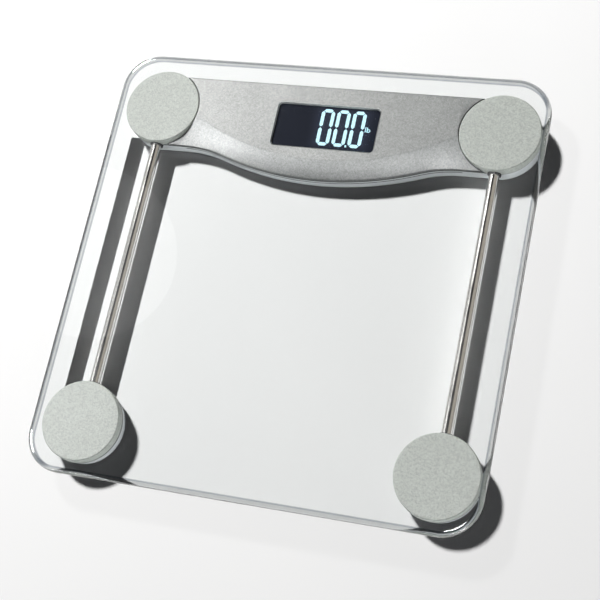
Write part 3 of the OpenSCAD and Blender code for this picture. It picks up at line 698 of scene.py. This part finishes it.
def flat_shapes(name, outlines):
    """Thin plates on the display, one for each outline."""
    points, faces = [], []
    for outline in outlines:
        n, base = len(outline), len(points)
        points += [(p.x, p.y, z) for z in (DIGIT_Z, DIGIT_Z + DIGIT_T) for p in outline]
        faces.append(tuple(base + i for i in reversed(range(n))))
        faces.append(tuple(base + n + i for i in range(n)))
        faces += [(base + i, base + (i + 1) % n, base + n + (i + 1) % n, base + n + i) for i in range(n)]
    return mesh_object(name, points, faces)


def digits():
    """Three zeros and a decimal point."""
    outlines = [outline for span in DIGIT_SPANS for outline in zero_outlines(*span)]
    outlines.append(bar_outline(POINT_X, DIGIT_LOW, POINT_W, POINT_H))
    return flat_shapes("display_digits", outlines)


def unit_mark():
    """A small lb mark: a stem, and a stem with a bowl."""
    outlines = [bar_outline(UNIT_X + k * STEM_STEP, UNIT_Y, STEM_W, UNIT_H) for k in (0, 1)]
    outlines += arc_outlines((UNIT_X + 2 * STEM_STEP, UNIT_Y + BOWL_R), BOWL_R, BOWL_INNER_R, -150, 150)
    return flat_shapes("display_unit", outlines)


for piece in (digits(), unit_mark()):
    paint(piece, "lit_segment")
    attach(piece, "scale")


# ---- Floor, light and camera --------------------------------------------------------

FLOOR_HALF = 3000
FLAG_Z = 4
# Strips that only block lamps, to deepen the shadows beside the tubes: x0, y0, x1, y1
FLAGS = {
    "flag_left": (-121.3, -97, -108.0, 87),
    "flag_far_left": (-146.4, -118, -135.1, 98),
    "flag_right": (117.5, -86, 126.0, 87),
}
# Lamps that are seen only in reflections: place in metres, size, watts, colour
CARDS = {
    "softbox": ((-0.674, 0.343, 1.043), (0.26, 0.26), 0.16, (1, 1, 1)),
    "card_slope": ((-0.86, -0.05, 0.9), (0.2, 0.2), 37, (1, 1, 1)),
    "card_top": ((0.08, -0.21, 1.18), (0.24, 0.24), 20, (1, 1, 1)),
    "card_right": ((0.95, 0.36, 0.72), (1.0, 1.3), 1.9, (1.0, 0.92, 0.82)),
    "card_left": ((-1.15, 0.36, 0.52), (0.8, 0.5), 1.0, (1, 1, 1)),
}


def sheet(name, x0, y0, x1, y1, z, material):
    """A flat sheet, with corners in millimetres."""
    mesh = bpy.data.meshes.new(name)
    corners = ((x0, y0, z), (x1, y0, z), (x1, y1, z), (x0, y1, z))
    mesh.from_pydata([Vector(c) * MM for c in corners], [], [(0, 1, 2, 3)])
    mesh.materials.append(material)
    obj = bpy.data.objects.new(name, mesh)
    scene.collection.objects.link(obj)
    return obj


def floor():
    """Pale floor that is clear from below."""
    s = Shader("floor", Roughness=0.75, Specular_IOR_Level=0.0)
    s.wear(Base_Color=s.blend(s.noise(3, 2), rgb(0.80, 0.81, 0.825), rgb(0.83, 0.84, 0.85)))
    back = s.add("ShaderNodeNewGeometry").outputs["Backfacing"]
    mix = s.add("ShaderNodeMixShader")
    s.tree.links.new(back, mix.inputs[0])
    s.tree.links.new(s.bsdf.outputs[0], mix.inputs[1])
    s.tree.links.new(s.add("ShaderNodeBsdfTransparent").outputs[0], mix.inputs[2])
    s.tree.links.new(mix.outputs[0], s.out.inputs["Surface"])
    obj = sheet("floor", -FLOOR_HALF, -FLOOR_HALF, FLOOR_HALF, FLOOR_HALF, 0, s.mat)
    obj.visible_shadow = False


def flag(name, x0, y0, x1, y1):
    obj = sheet(name, x0, y0, x1, y1, FLAG_Z, MATERIALS["frame_plastic"])
    obj.visible_camera = obj.visible_diffuse = obj.visible_glossy = obj.visible_transmission = False


def area_light(name, place, target, size, power, colour=(1, 1, 1)):
    """A lamp at a place in metres: a disc where both sizes agree, or else a rectangle."""
    data = bpy.data.lights.new(name, "AREA")
    data.shape = "DISK" if size[0] == size[1] else "RECTANGLE"
    data.size, data.size_y = size
    data.energy, data.color = power, colour
    obj = bpy.data.objects.new(name, data)
    obj.location = place
    obj.rotation_mode = "QUATERNION"
    obj.rotation_quaternion = (Vector(place) - Vector(target)).to_track_quat("Z", "Y")
    scene.collection.objects.link(obj)
    return obj


def world():
    w = bpy.data.worlds.new("studio")
    w.use_nodes = True
    background = w.node_tree.nodes["Background"]
    background.inputs["Color"].default_value = rgb(0.92, 0.95, 1.0)
    background.inputs["Strength"].default_value = 0.02
    scene.world = w


floor()
world()
for name, corners in FLAGS.items():
    flag(name, *corners)
area_light("key", (-1.36, 1.36, 1.96), (0, 0, 0.02), (0.27, 0.27), 118, (1.0, 0.985, 0.965))
area_light("front_low", (0.75, -1.25, 0.075), (0, 0, 0.01), (0.7, 0.12), 10.0)
for name, (place, size, power, colour) in CARDS.items():
    card = area_light(name, place, (0, 0, 0.02), size, power, colour)
    card.visible_diffuse = card.visible_transmission = False
under = area_light("under", (0.3, -0.7, -1.3), (0, 0, 0), (0.6, 0.6), 13)
under.visible_glossy = False

# Camera, solved from the photograph
camera_data = bpy.data.cameras.new("camera")
camera_data.sensor_width = 36.0
camera_data.lens = 84.84
camera_data.clip_start, camera_data.clip_end = 0.05, 20
camera = bpy.data.objects.new("camera", camera_data)
camera.matrix_world = Matrix(((0.94443567, -0.11395128, 0.30831213, 0.28950),
                              (0.20711591, 0.93465586, -0.28900072, -0.27605),
                              (-0.25523374, 0.33679894, 0.90632346, 0.83972),
                              (0, 0, 0, 1)))
scene.collection.objects.link(camera)
scene.camera = camera

scene.view_settings.view_transform = "Standard"
scene.view_settings.exposure = 0.0
